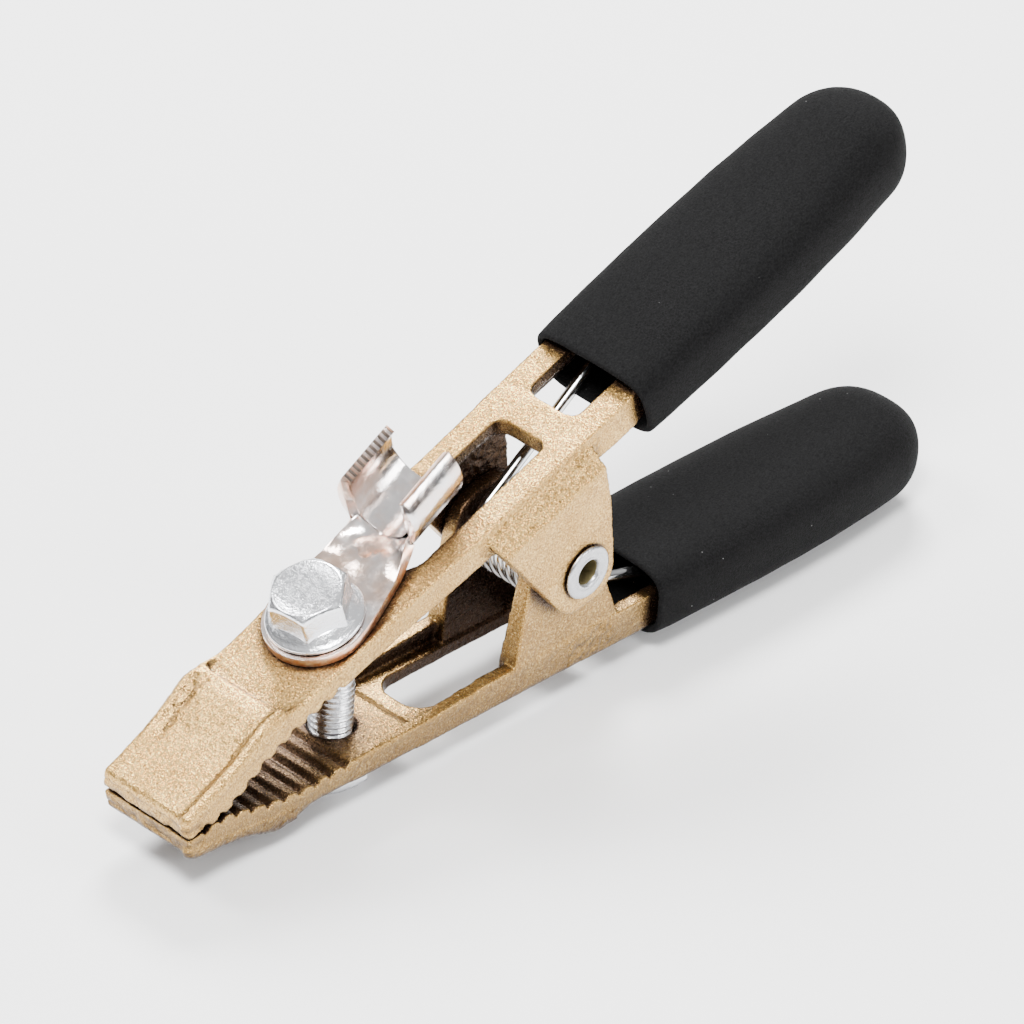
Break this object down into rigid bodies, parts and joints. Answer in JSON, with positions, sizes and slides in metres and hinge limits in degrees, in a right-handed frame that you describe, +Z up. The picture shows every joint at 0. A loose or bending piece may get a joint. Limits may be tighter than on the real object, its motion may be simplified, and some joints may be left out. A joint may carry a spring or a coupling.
{
  "type": "ground clamp",
  "caption": "Spring-loaded welding ground clamp: toothed brass jaws on a hollow rivet, sleeved handles, and a bolted lug with an open barrel for the cable.",
  "frame": {"origin": "centre of the bounding box in plan, at the height of the surface that the clamp stands on", "axes": "+X from the jaws' nose to the handle ends, +Y along the pivot towards the side that the lug's barrel leans to, +Z up from the lower arm to the upper arm"},
  "size_m": [0.2354, 0.0376, 0.1086],
  "materials": {
    "cast_brass": "as cast, sandy grain",
    "black_foam": "matt foam",
    "bright_zinc": "bright zinc plate",
    "spring_steel": "bright drawn wire",
    "tinned_copper": "thin tin over copper, with copper showing at the edges"
  },
  "bodies": {
    "lower": {"lower_arm": "cast_brass", "lower_grip": "black_foam", "lower_bolt": "bright_zinc", "torsion_spring": "spring_steel"},
    "upper": {"upper_arm": "cast_brass", "upper_grip": "black_foam", "lug_bolt": "bright_zinc", "cable_lug": "tinned_copper", "pivot_rivet": "bright_zinc"}
  },
  "joints": [
    {"name": "jaw_pivot", "type": "hinge", "parent": "lower", "child": "upper", "pos_m": [-0.00446, 0, 0.03553], "axis": [0, 1, 0], "range_deg": [0, 31], "stiffness_Nm_per_rad": 2.5, "springref_deg": -34.38, "deforming": ["torsion_spring"]}
  ]
}
